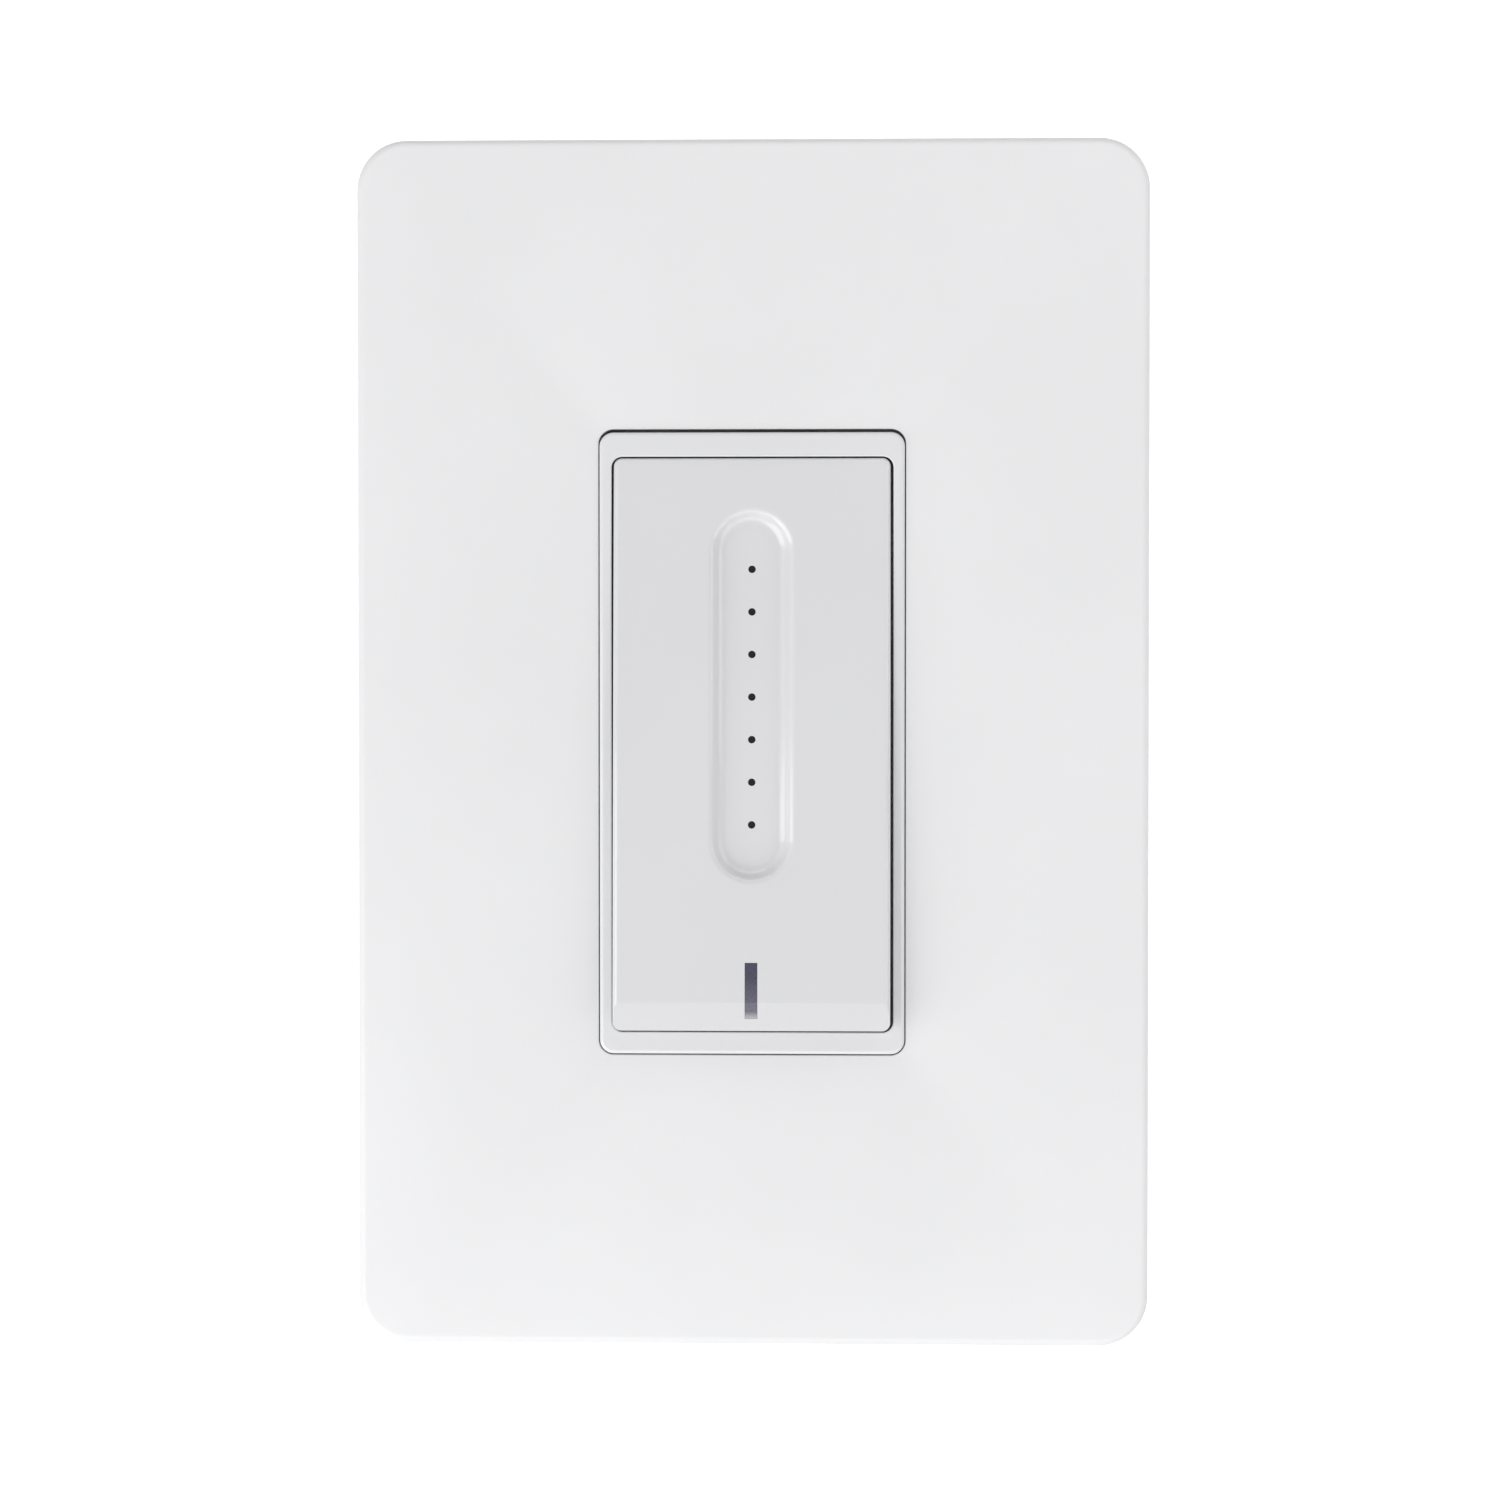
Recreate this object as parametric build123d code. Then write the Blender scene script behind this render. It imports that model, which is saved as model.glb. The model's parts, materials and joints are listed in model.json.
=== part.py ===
from build123d import *
import math
import os

# In-wall dimmer with a touch groove in a push paddle and a snap-on cover plate.
# Millimetres.  +Z is up, the front faces -Y, the body goes into the wall along +Y.
# The origin is the centre of the two box screws on the yoke's back face (the wall plane).

# ---------------------------------------------------------------- driving dimensions
# cover plate
plate_width = 84.6
plate_height = 128.8
plate_corner = 5.4
plate_depth = 6.8
plate_wall = 2.0
plate_edge_round = 0.9
opening_width = 32.77
opening_height = 66.8
opening_corner = 1.6
opening_lift = 0.11

# device frame in the plate's opening
bezel_gap = 0.11
bezel_end_gap = 0.24
bezel_proud = 0.4
bezel_side_strip = 1.25
bezel_end_strip = 2.42
bezel_floor = 1.0
bezel_edge_round = 0.45

# paddle
paddle_gap = 0.25
paddle_top_gap = 0.08
paddle_bottom_gap = 0.33
paddle_side_play = 0.05
paddle_raise = 2.6
paddle_corner = 0.9
paddle_edge_round = 0.6
paddle_wall = 1.6
paddle_skirt_wall = 1.4
paddle_skirt_depth = 4.4
lip_height = 3.0
lip_drop = 0.5

# touch groove, its dots and the light bar
groove_width = 8.5
groove_top = 24.85
groove_bottom = -14.55
groove_depth = 1.1
groove_wall_slope = 40.0
groove_rim_round = 0.9
groove_floor_round = 1.4
groove_floor = 1.0
dot_count = 7
dot_pitch = 4.54
dot_top = 18.65
dot_diameter = 0.8
bar_width = 1.34
bar_length = 5.95
bar_above_edge = 1.3

# hinge, push switch and springs of the paddle
hinge_below_top = 3.15
hinge_depth = 3.9
hinge_pin_radius = 0.8
hinge_ear_front = 5.3
hinge_ear_width = 1.6
hinge_ear_gap = 0.45
hinge_ear_half = 1.45
switch_z = -19.0
switch_size = 6.0
switch_height = 2.5
plunger_radius = 1.6
plunger_proud = 1.0
plunger_travel_room = 0.95
spring_side_gap = 0.725
spring_above_edge = 5.15
spring_coil_radius = 1.45
spring_wire_radius = 0.2
spring_turns = 6

# boards
touch_board_thickness = 1.0
touch_board_side_gap = 0.5
touch_board_top = 24.2
touch_board_above_edge = 1.25
main_board_depth = 7.0
main_board_thickness = 1.6
main_board_side_gap = 2.4
main_board_end_gap = 1.2

# yoke and the fixings of the wall box and the plate
yoke_thickness = 1.5
yoke_side_margin = 0.5
yoke_end_margin = 1.5
yoke_ear_width = 33.0
yoke_height = 106.4
yoke_corner = 3.0
box_screw_spacing = 83.34
box_screw_radius = 1.75
box_screw_neck = 1.5
box_screw_length = 19.0
plate_screw_spacing = 96.84
screw_head_radius = 3.4
washer_thickness = 0.4
sub_plate_thickness = 1.6

# rear housing and its terminals
housing_width = 43.4
housing_height = 68.0
housing_depth = 33.5
housing_wall = 1.8
housing_corner = 2.4
case_screw_inset = 3.5
case_column_radius = 3.2
case_screw_radius = 1.45
case_screw_head = 2.7
pocket_width = 12.0
pocket_wall = 1.2
pocket_behind_board = 1.6
pocket_length = 11.8
pocket_depth = 5.4
terminal_z = (11.0, -11.0)
terminal_screw_radius = 1.75

# clearances
running_gap = 0.05
seat_gap = 0.03
snap_gap = 0.3

# ---------------------------------------------------------------- places worked out from them
plate_front = -plate_depth
plate_inner = plate_front + plate_wall
yoke_front = -yoke_thickness
sub_plate_front = yoke_front - sub_plate_thickness
bezel_front = plate_front - bezel_proud
bezel_width = opening_width - 2 * bezel_gap
bezel_height = opening_height - 2 * bezel_end_gap
bezel_corner = opening_corner - bezel_gap
well_width = bezel_width - 2 * bezel_side_strip
well_height = bezel_height - 2 * bezel_end_strip
well_corner = paddle_corner + paddle_gap
paddle_width = well_width - 2 * paddle_gap
paddle_height = well_height - 2 * paddle_gap
paddle_tilt = math.degrees(math.atan(paddle_raise / paddle_height))
floor_front = yoke_front - bezel_floor
board_front = floor_front - touch_board_thickness
hinge_y = -hinge_depth
hinge_z = paddle_height / 2 - hinge_below_top
hinge_ear_outer = paddle_width / 2 - paddle_skirt_wall - hinge_ear_gap
hinge_ear_inner = hinge_ear_outer - hinge_ear_width
dot_places = [dot_top - dot_pitch * index for index in range(dot_count)]
bar_bottom = -paddle_height / 2 + bar_above_edge
bar_top = bar_bottom + bar_length
spring_outer_radius = spring_coil_radius + spring_wire_radius
spring_x = paddle_width / 2 - paddle_skirt_wall - spring_side_gap - spring_outer_radius
spring_z = -paddle_height / 2 + spring_above_edge
touch_board_width = 2 * (hinge_ear_inner - touch_board_side_gap)
touch_board_bottom = -paddle_height / 2 + touch_board_above_edge
housing_inner_width = housing_width - 2 * housing_wall
housing_inner_height = housing_height - 2 * housing_wall
housing_inner_back = housing_depth - housing_wall
yoke_width = housing_width + 2 * yoke_side_margin
yoke_body_height = housing_height + 2 * yoke_end_margin
case_screw_x = housing_width / 2 - case_screw_inset
case_screw_z = housing_height / 2 - case_screw_inset
board_back = main_board_depth + main_board_thickness
main_board_width = housing_inner_width - 2 * main_board_side_gap
main_board_height = housing_inner_height - 2 * main_board_end_gap
board_top = main_board_height / 2
board_bottom = -board_top
pocket_front = board_back + pocket_behind_board
pocket_back = pocket_front + pocket_length


# ---------------------------------------------------------------- helpers
def block(x0, x1, y0, y1, z0, z1):
    """A box from its lowest to its highest corner."""
    centre = Pos((x0 + x1) / 2, (y0 + y1) / 2, (z0 + z1) / 2)
    return centre * Box(x1 - x0, y1 - y0, z1 - z0)


def slab(width, height, corner, y0, y1, z=0.0):
    """A rounded rectangle across X and Z, from depth y0 to depth y1."""
    outline = RectangleRounded(width, height, corner)
    return Pos(0, y0, z) * Rot(X=-90) * extrude(outline, y1 - y0)


def rod_y(x, z, radius, y0, y1):
    """A round bar along Y."""
    bar = Cylinder(radius, y1 - y0, align=(Align.CENTER, Align.CENTER, Align.MIN))
    return Pos(x, y0, z) * Rot(X=-90) * bar


def rod_x(y, z, radius, x0, x1):
    """A round bar along X."""
    bar = Cylinder(radius, x1 - x0, align=(Align.CENTER, Align.CENTER, Align.MIN))
    return Pos(x0, y, z) * Rot(Y=90) * bar


def face_edges(shape, depth):
    """The edges that lie wholly in the plane Y = depth."""
    return [
        edge
        for edge in shape.edges()
        if abs(edge.bounding_box().min.Y - depth) < 1e-4 and abs(edge.bounding_box().max.Y - depth) < 1e-4
    ]


def both_sides(shape):
    """A shape and its mirror image in X."""
    return [shape, mirror(shape, Plane.YZ)]


def save(node, *shapes):
    """Write one node's solids to its own STEP file."""
    solids = [solid for shape in shapes for solid in shape.solids()]
    export_step(solids[0] if len(solids) == 1 else Compound(solids), f"parts/{node}.step")


def pan_head(radius, height):
    """A slotted pan head that stands on Z = 0 and rises along +Z."""
    head = Cylinder(radius, height, align=(Align.CENTER, Align.CENTER, Align.MIN))
    head = fillet(head.edges().filter_by(GeomType.CIRCLE).sort_by(Axis.Z)[-1], height * 0.45)
    slot = Pos(0, 0, height) * Box(2.2 * radius, 0.9, height * 0.9)
    return head - slot


def front_screw(x, z, seat, head_radius, head_height, shank_parts):
    """A screw with its head in front of the depth `seat`.  shank_parts are (radius, end depth)."""
    screw = Pos(x, seat, z) * Rot(X=90) * pan_head(head_radius, head_height)
    start = seat
    for radius, end in shank_parts:
        screw += rod_y(x, z, radius, start, end)
        start = end
    return screw


# ---------------------------------------------------------------- cover plate and sub-plate
def make_cover_plate():
    shell = slab(plate_width, plate_height, plate_corner, plate_front, 0)
    shell = fillet(face_edges(shell, plate_front), plate_edge_round)
    inner_corner = plate_corner - plate_wall
    hollow = slab(plate_width - 2 * plate_wall, plate_height - 2 * plate_wall, inner_corner, plate_inner, 1)
    window = slab(opening_width, opening_height, opening_corner, plate_front - 1, plate_inner + 1)
    shell = shell - hollow - Pos(0, 0, opening_lift) * window
    # standing ribs that hold the face off the sub-plate
    rib_x = sub_plate_width() / 2 - 5
    for share in (-0.35, 0.0, 0.35):
        z = share * plate_height
        for x in (-rib_x, rib_x):
            shell += block(x - 0.6, x + 0.6, plate_inner - 0.5, sub_plate_front, z - 4, z + 4)
    # hooks that catch behind the sub-plate's top and bottom edges
    hook_tip = sub_plate_height() / 2 - 0.9
    hook_root = plate_height / 2 - plate_wall + 0.5
    hook_front = yoke_front + seat_gap
    for side in (-1, 1):
        low, high = sorted((side * hook_tip, side * hook_root))
        for hook_x in (-22.0, 22.0):
            shell += block(hook_x - 4, hook_x + 4, hook_front, hook_front + 1.0, low, high)
    return shell


def sub_plate_width():
    return plate_width - 2 * plate_wall - 2 * snap_gap


def sub_plate_height():
    return plate_height - 2 * plate_wall - 2 * snap_gap


def make_sub_plate():
    corner = plate_corner - plate_wall - snap_gap
    plate = slab(sub_plate_width(), sub_plate_height(), corner, sub_plate_front, yoke_front)
    plate -= slab(opening_width + 0.6, opening_height + 0.6, opening_corner, sub_plate_front - 1, 0)
    for side in (-1, 1):
        box_z = side * box_screw_spacing / 2
        plate_z = side * plate_screw_spacing / 2
        plate -= rod_y(0, box_z, screw_head_radius + 1.2, sub_plate_front - 1, 0)
        plate -= rod_y(0, plate_z, box_screw_radius + running_gap, sub_plate_front - 1, 0)
    return plate


def make_sub_plate_screws():
    tip = 5.0
    return [
        front_screw(0, side * plate_screw_spacing / 2, sub_plate_front, 3.0, 1.3, [(box_screw_radius, tip)])
        for side in (-1, 1)
    ]


# ---------------------------------------------------------------- bezel frame
snap_leg_x = bezel_width / 2 - 2.2
snap_leg_wall = 1.0
snap_leg_width = 5.0
snap_hook = 0.8
snap_leg_z = 18.0
connector_z = 6.0
connector_length = 12.0


def make_bezel_frame():
    frame = slab(bezel_width, bezel_height, bezel_corner, bezel_front, yoke_front)
    frame = fillet(face_edges(frame, bezel_front), bezel_edge_round)
    frame -= paddle_well()
    rim = face_edges(frame, bezel_front)
    inner_rim = [edge for edge in rim if abs(edge.center().X) < well_width / 2 + 0.1
                 and abs(edge.center().Z) < well_height / 2 + 0.1]
    frame = fillet(inner_rim, bezel_edge_round / 3)
    half = connector_length / 2 + 0.5
    frame -= block(-half, half, floor_front - 1, 0, connector_z - 2, connector_z + 2)
    frame += hinge_ears()
    frame += both_sides(rod_y(spring_x, spring_z, spring_post_radius(), floor_front - 1.5, floor_front))
    return frame + snap_legs()


def paddle_well():
    """The hollow the paddle moves in: closest at the hinged end, widest below and at the right."""
    height = paddle_height + paddle_top_gap + paddle_bottom_gap
    middle = (paddle_top_gap - paddle_bottom_gap) / 2
    hollow = slab(well_width, height, well_corner, bezel_front - 1, floor_front, middle)
    return Pos(paddle_side_play, 0, 0) * hollow


def spring_post_radius():
    return spring_coil_radius - spring_wire_radius - 0.15


def hinge_ears():
    low = hinge_z - hinge_ear_half
    high = hinge_z + hinge_ear_half
    ear = block(hinge_ear_inner, hinge_ear_outer, -hinge_ear_front, floor_front, low, high)
    bore = rod_x(hinge_y, hinge_z, hinge_pin_radius + running_gap, hinge_ear_inner - 1, hinge_ear_outer + 1)
    return both_sides(ear - bore)


def snap_legs():
    legs = []
    half = snap_leg_width / 2
    for leg_z in (-snap_leg_z, snap_leg_z):
        leg = block(snap_leg_x, snap_leg_x + snap_leg_wall, yoke_front - 0.5, 1.2, leg_z - half, leg_z + half)
        leg += block(
            snap_leg_x, snap_leg_x + snap_leg_wall + snap_hook, seat_gap, 1.2, leg_z - half, leg_z + half
        )
        legs += both_sides(leg)
    return legs


# ---------------------------------------------------------------- paddle (built flat, then tilted)
paddle_place = Pos(0, bezel_front - paddle_raise / 2, 0) * Rot(X=-paddle_tilt)


def face_depth(z):
    """The depth of the paddle's flat face at height z."""
    return bezel_front - paddle_raise * (paddle_height / 2 - z) / paddle_height


def paddle_skin():
    """The paddle's outer form, solid, in the place it has at rest."""
    form = slab(paddle_width, paddle_height, paddle_corner, 0, paddle_skirt_depth)
    form = fillet(face_edges(form, 0), paddle_edge_round)
    form -= groove_tool()
    rim = [edge for edge in face_edges(form, 0) if edge.bounding_box().max.Z < groove_top + 0.1
           and edge.bounding_box().min.Z > groove_bottom - 0.1]
    form = fillet(rim, groove_rim_round)
    lip_angle = math.degrees(math.atan(lip_drop / lip_height))
    lip_cut = Rot(X=lip_angle) * block(-paddle_width, paddle_width, -5, 0, -2 * lip_height, 0)
    form -= Pos(0, 0, -paddle_height / 2 + lip_height) * lip_cut
    form = paddle_place * form
    well = slab(paddle_width, paddle_height, paddle_corner, bezel_front - 5, 0)
    return form & well


def groove_tool():
    """The groove's hollow in the flat paddle: sloping walls that round into a flat floor."""
    inset = groove_depth * math.tan(math.radians(groove_wall_slope))
    length = groove_top - groove_bottom
    outline = SlotOverall(length - 2 * inset, groove_width - 2 * inset, rotation=90)
    tool = extrude(outline, groove_depth + 1, taper=-groove_wall_slope)
    tool = fillet(tool.faces().sort_by(Axis.Z)[0].edges(), groove_floor_round)
    return Pos(0, groove_depth, (groove_top + groove_bottom) / 2) * Rot(X=90) * tool


def make_paddle():
    paddle = paddle_skin()
    inner_width = paddle_width - 2 * paddle_skirt_wall
    inner_height = paddle_height - 2 * paddle_skirt_wall
    paddle -= paddle_place * slab(inner_width, inner_height, 0.3, paddle_wall, paddle_skirt_depth + 1)
    boss_width = groove_width + 2 * paddle_skirt_wall
    boss_height = groove_top - groove_bottom + 2 * paddle_skirt_wall
    boss_z = (groove_top + groove_bottom) / 2
    boss_back = groove_depth + groove_floor
    paddle += paddle_place * slab(boss_width, boss_height, 2.0, groove_depth + 0.2, boss_back, boss_z)
    for dot_z in dot_places:
        paddle -= paddle_place * rod_y(0, dot_z, dot_diameter / 2, -1, paddle_skirt_depth)
    paddle -= paddle_place * block(-bar_width / 2, bar_width / 2, -1, paddle_skirt_depth, bar_bottom, bar_top)
    paddle += hinge_stubs()
    paddle += spring_posts()
    return paddle + press_rib()


def hinge_stubs():
    stub = rod_x(hinge_y, hinge_z, hinge_pin_radius, hinge_ear_inner + 0.1, paddle_width / 2 - 0.5)
    return both_sides(stub)


def spring_posts():
    root = face_depth(spring_z) + paddle_wall
    return both_sides(rod_y(spring_x, spring_z, spring_post_radius(), root - 0.5, root + 1.4))


def plunger_tip():
    return board_front - switch_height - plunger_proud


def press_rib():
    tip = plunger_tip() - running_gap
    root = face_depth(switch_z) + paddle_wall - 0.5
    nose = 0.6
    rib = block(-2, 2, root, tip - nose, switch_z - nose, switch_z + nose)
    return rib + rod_x(tip - nose, switch_z, nose, -2, 2)


def make_dot_light_guide():
    low = dot_places[-1] - 1.6
    high = dot_places[0] + 1.6
    back = groove_depth + groove_floor + seat_gap
    guide = block(-2, 2, back, back + 0.9, low, high)
    for dot_z in dot_places:
        guide += rod_y(0, dot_z, dot_diameter / 2 - seat_gap, groove_depth + 0.08, back + 0.1)
    return paddle_place * guide


def make_status_light_pipe():
    half = bar_width / 2 - seat_gap
    column = block(-half, half, -1, 4.0, bar_bottom + seat_gap, bar_top - seat_gap)
    pipe = paddle_skin() & (paddle_place * column)
    wall_back = paddle_wall + seat_gap
    flange = block(-1.6, 1.6, wall_back, wall_back + 0.7, bar_bottom + 0.5, bar_top + 1)
    return pipe + paddle_place * flange


def make_return_springs():
    start = floor_front - spring_wire_radius - seat_gap
    end = face_depth(spring_z) + paddle_wall + spring_wire_radius + 0.12
    length = start - end
    path = Helix(length / spring_turns, length, spring_coil_radius)
    section = Plane(origin=path @ 0, z_dir=path % 0) * Circle(spring_wire_radius)
    coil = sweep(section, path=path, is_frenet=True)
    return [Pos(side * spring_x, start, spring_z) * Rot(X=90) * coil for side in (-1, 1)]


# ---------------------------------------------------------------- touch board
led_height = 0.6
shroud_height = 0.7
chip_places = ((-7.0, 14.0, 4.0, 4.0, 0.9), (7.0, 3.0, 3.0, 5.0, 1.1), (-6.6, -4.0, 2.0, 1.2, 0.6),
               (-6.6, -7.0, 2.0, 1.2, 0.6), (6.6, -7.0, 2.0, 1.2, 0.6), (7.2, 18.0, 1.6, 0.8, 0.5),
               (7.2, 15.6, 1.6, 0.8, 0.5), (-7.2, 8.0, 1.6, 0.8, 0.5))


def make_touch_board():
    middle = (touch_board_top + touch_board_bottom) / 2
    height = touch_board_top - touch_board_bottom
    board = slab(touch_board_width, height, 0.8, board_front, floor_front, middle)
    notch_inner = spring_x - spring_outer_radius - 0.4
    notch_top = spring_z + spring_outer_radius + 0.6
    for side in (-1, 1):
        low, high = sorted((side * notch_inner, side * touch_board_width))
        board -= block(low, high, board_front - 1, 0, touch_board_bottom - 1, notch_top)
    return board


def make_level_leds():
    return [block(-0.8, 0.8, board_front - led_height, board_front, dot_z - 0.4, dot_z + 0.4)
            for dot_z in dot_places]


def make_led_shroud():
    shroud = block(-2.4, 2.4, board_front - shroud_height, board_front, dot_places[-1] - 2, dot_places[0] + 2)
    for dot_z in dot_places:
        shroud -= block(-1.2, 1.2, board_front - 2, board_front + 1, dot_z - 1.1, dot_z + 1.1)
    return shroud


def make_status_led():
    middle = (bar_top + bar_bottom) / 2
    return block(-1.0, 1.0, board_front - led_height, board_front, middle - 1.2, middle + 1.2)


def make_touch_board_chips():
    return [
        block(x - wide / 2, x + wide / 2, board_front - tall, board_front, z - high / 2, z + high / 2)
        for x, z, wide, high, tall in chip_places
    ]


def make_tact_switch_body():
    half = switch_size / 2
    front = board_front - switch_height
    body = block(-half, half, front, board_front, switch_z - half, switch_z + half)
    body = chamfer(body.edges().filter_by(Axis.Y), 0.5)
    bore_end = front + plunger_tail() + plunger_travel_room
    return body - rod_y(0, switch_z, plunger_radius + running_gap, front - 1, bore_end)


def plunger_tail():
    return 0.7


def make_tact_switch_plunger():
    return rod_y(0, switch_z, plunger_radius, plunger_tip(), board_front - switch_height + plunger_tail())


def header_pin_places():
    pitch = 2.0
    count = 5
    return [(index - (count - 1) / 2) * pitch for index in range(count)]


def make_header_pins():
    half = 0.25
    low = connector_z - half
    high = connector_z + half
    tip = main_board_depth - 0.6
    return [block(x - half, x + half, floor_front, tip, low, high) for x in header_pin_places()]


def make_header_socket():
    half = connector_length / 2
    socket = block(-half, half, 1.5, main_board_depth, connector_z - 1.5, connector_z + 1.5)
    for x in header_pin_places():
        socket -= block(x - 0.3, x + 0.3, 0, main_board_depth + 1, connector_z - 0.3, connector_z + 0.3)
    return socket


# ---------------------------------------------------------------- yoke and its fixings
clamp_screw_z = 20.0
ground_tab_x = -12.0
ground_tab_wall = 1.5
ground_tab_z = -46.0
ground_tab_depth = 9.0


def make_yoke():
    yoke = slab(yoke_width, yoke_body_height, yoke_corner, yoke_front, 0)
    yoke += slab(yoke_ear_width, yoke_height, yoke_corner, yoke_front, 0)
    for side in (-1, 1):
        z = side * box_screw_spacing / 2
        slot = Pos(0, yoke_front - 1, z) * Rot(X=-90) * extrude(SlotOverall(6.4, 2 * box_screw_neck + 0.5), 4)
        yoke -= slot
        yoke -= rod_y(0, side * plate_screw_spacing / 2, box_screw_radius + seat_gap, yoke_front - 1, 1)
    half = connector_length / 2 + 1
    yoke -= block(-half, half, yoke_front - 1, 1, connector_z - 2.5, connector_z + 2.5)
    leg_half = snap_leg_width / 2 + snap_gap
    leg_out = snap_leg_x + snap_leg_wall + 0.05
    for leg_z in (-snap_leg_z, snap_leg_z):
        opening = block(snap_leg_x - 0.9, leg_out, yoke_front - 1, 1, leg_z - leg_half, leg_z + leg_half)
        for cut in both_sides(opening):
            yoke -= cut
    for hole in housing_columns(case_screw_radius + seat_gap, yoke_front - 1, 1):
        yoke -= hole
    yoke -= rod_y(0, clamp_screw_z, case_screw_radius + seat_gap, yoke_front - 1, 1)
    tab_end = ground_tab_x + ground_tab_wall
    tab = block(ground_tab_x, tab_end, -0.5, ground_tab_depth, ground_tab_z - 4, ground_tab_z + 4)
    tab -= rod_x(ground_screw_y(), ground_tab_z, box_screw_radius + seat_gap, ground_tab_x - 1, tab_end + 1)
    return yoke + tab


def ground_screw_y():
    return ground_tab_depth - 4.2


def make_ground_screw():
    seat = ground_tab_x - 0.9
    head = Pos(seat, ground_screw_y(), ground_tab_z) * Rot(Y=-90) * pan_head(3.6, 2.0)
    tip = ground_tab_x + ground_tab_wall + 4
    return head + rod_x(ground_screw_y(), ground_tab_z, box_screw_radius, seat, tip)


def make_ground_clamp():
    seat = ground_tab_x - 0.9
    y = ground_screw_y()
    clamp = block(seat, ground_tab_x, y - 3.8, y + 3.8, ground_tab_z - 3.8, ground_tab_z + 3.8)
    return clamp - rod_x(y, ground_tab_z, box_screw_radius + seat_gap, seat - 1, ground_tab_x + 1)


def make_box_screws():
    shank = [(box_screw_neck, washer_thickness), (box_screw_radius, box_screw_length)]
    screws = []
    for side in (-1, 1):
        screw = front_screw(0, side * box_screw_spacing / 2, yoke_front, screw_head_radius, 1.9, shank)
        screws.append(chamfer(face_edges(screw, box_screw_length), 0.5))
    return screws


def make_screw_retainer_washers():
    washers = []
    for side in (-1, 1):
        z = side * box_screw_spacing / 2
        washer = block(-5, 5, 0, washer_thickness, z - 4, z + 4)
        washers.append(washer - rod_y(0, z, box_screw_neck + seat_gap, -1, 1))
    return washers


# ---------------------------------------------------------------- rear housing
board_rib_x = 11.5


def corner_places():
    return [(x, z) for x in (-case_screw_x, case_screw_x) for z in (-case_screw_z, case_screw_z)]


def housing_columns(radius, y0, y1):
    return [rod_y(x, z, radius, y0, y1) for x, z in corner_places()]


def pocket(side, z, grow=0.0):
    outer = housing_width / 2
    inner = outer - pocket_depth - grow
    low, high = sorted((side * inner, side * (outer + 1 - grow)))
    half = pocket_width / 2 + grow
    return block(low, high, pocket_front - grow, pocket_back + grow, z - half, z + half)


def make_rear_housing():
    shell = slab(housing_width, housing_height, housing_corner, 0, housing_depth)
    shell = fillet(face_edges(shell, housing_depth), 1.5)
    inner_corner = housing_corner - housing_wall / 2
    cavity = slab(housing_inner_width, housing_inner_height, inner_corner, -1, housing_inner_back)
    for side in (-1, 1):
        for z in terminal_z:
            cavity -= pocket(side, z, pocket_wall)
    for column in housing_columns(case_column_radius, -1, housing_depth):
        cavity -= column
    # ribs that carry the main board's back face
    for x in (-board_rib_x, board_rib_x):
        for side in (-1, 1):
            z_in = side * (board_top - 1.5)
            z_out = side * (housing_inner_height / 2 + 0.5)
            low, high = sorted((z_in, z_out))
            cavity -= block(x - 1, x + 1, board_back, housing_depth, low, high)
    shell -= cavity
    for side in (-1, 1):
        for z in terminal_z:
            shell -= pocket(side, z)
            shell -= blade_slot(side, z)
    for hole in housing_columns(case_screw_radius + 0.15, -1, housing_depth + 1):
        shell -= hole
    for recess in housing_columns(case_screw_head + 0.25, case_screw_seat(), housing_depth + 1):
        shell -= recess
    # cooling slots through the back face
    for index in range(5):
        z = (index - 2) * 4.0
        shell -= block(-8, 8, housing_inner_back - 1, housing_depth + 1, z - 0.6, z + 0.6)
    return shell


def case_screw_seat():
    return housing_depth - 2.4


def make_case_screws():
    seat = case_screw_seat()
    screws = []
    for x, z in corner_places():
        head = Pos(x, seat, z) * Rot(X=-90) * pan_head(case_screw_head, 1.8)
        screws.append(head + rod_y(x, z, case_screw_radius, yoke_front + 0.1, seat))
    return screws


# ---------------------------------------------------------------- terminals
blade_wall = 1.0
blade_width = 8.0
clamp_wall = 1.2


def blade_x():
    """Inner face of a terminal blade, on the pocket's floor."""
    return housing_width / 2 - pocket_depth


def terminal_y():
    return (pocket_front + pocket_back) / 2


def blade_slot(side, z):
    low, high = sorted((side * (blade_x() - 0.02), side * (blade_x() + blade_wall + 0.05)))
    half = 2.0 + 0.05
    return block(low, high, pocket_front - 2, pocket_front + 0.5, z - half, z + half)


def make_terminal_blades():
    blades = []
    half = blade_width / 2
    for z in terminal_z:
        x = blade_x()
        blade = block(x, x + blade_wall, pocket_front + 1.2, pocket_back - 1, z - half, z + half)
        blade += block(x, x + blade_wall, board_back, pocket_front + 2, z - 2, z + 2)
        blade -= rod_x(terminal_y(), z, terminal_screw_radius + seat_gap, x - 1, x + blade_wall + 1)
        blades += both_sides(blade)
    return blades


def make_terminal_clamps():
    clamps = []
    x = blade_x() + blade_wall + 0.6
    half = blade_width / 2
    y = terminal_y()
    for z in terminal_z:
        clamp = block(x, x + clamp_wall, y - half, y + half, z - half, z + half)
        clamp -= rod_x(y, z, terminal_screw_radius + seat_gap, x - 1, x + clamp_wall + 1)
        clamps += both_sides(clamp)
    return clamps


def make_terminal_screws():
    screws = []
    seat = blade_x() + blade_wall + 0.6 + clamp_wall
    y = terminal_y()
    for z in terminal_z:
        head = Pos(seat, y, z) * Rot(Y=90) * pan_head(3.7, 2.2)
        screw = head + rod_x(y, z, terminal_screw_radius, blade_x(), seat)
        screws += both_sides(screw)
    return screws


# ---------------------------------------------------------------- power stage
transistor_x = 8.0
transistor_z = 20.0
pad_thickness = 0.3
transistor_height = 4.4


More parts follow.
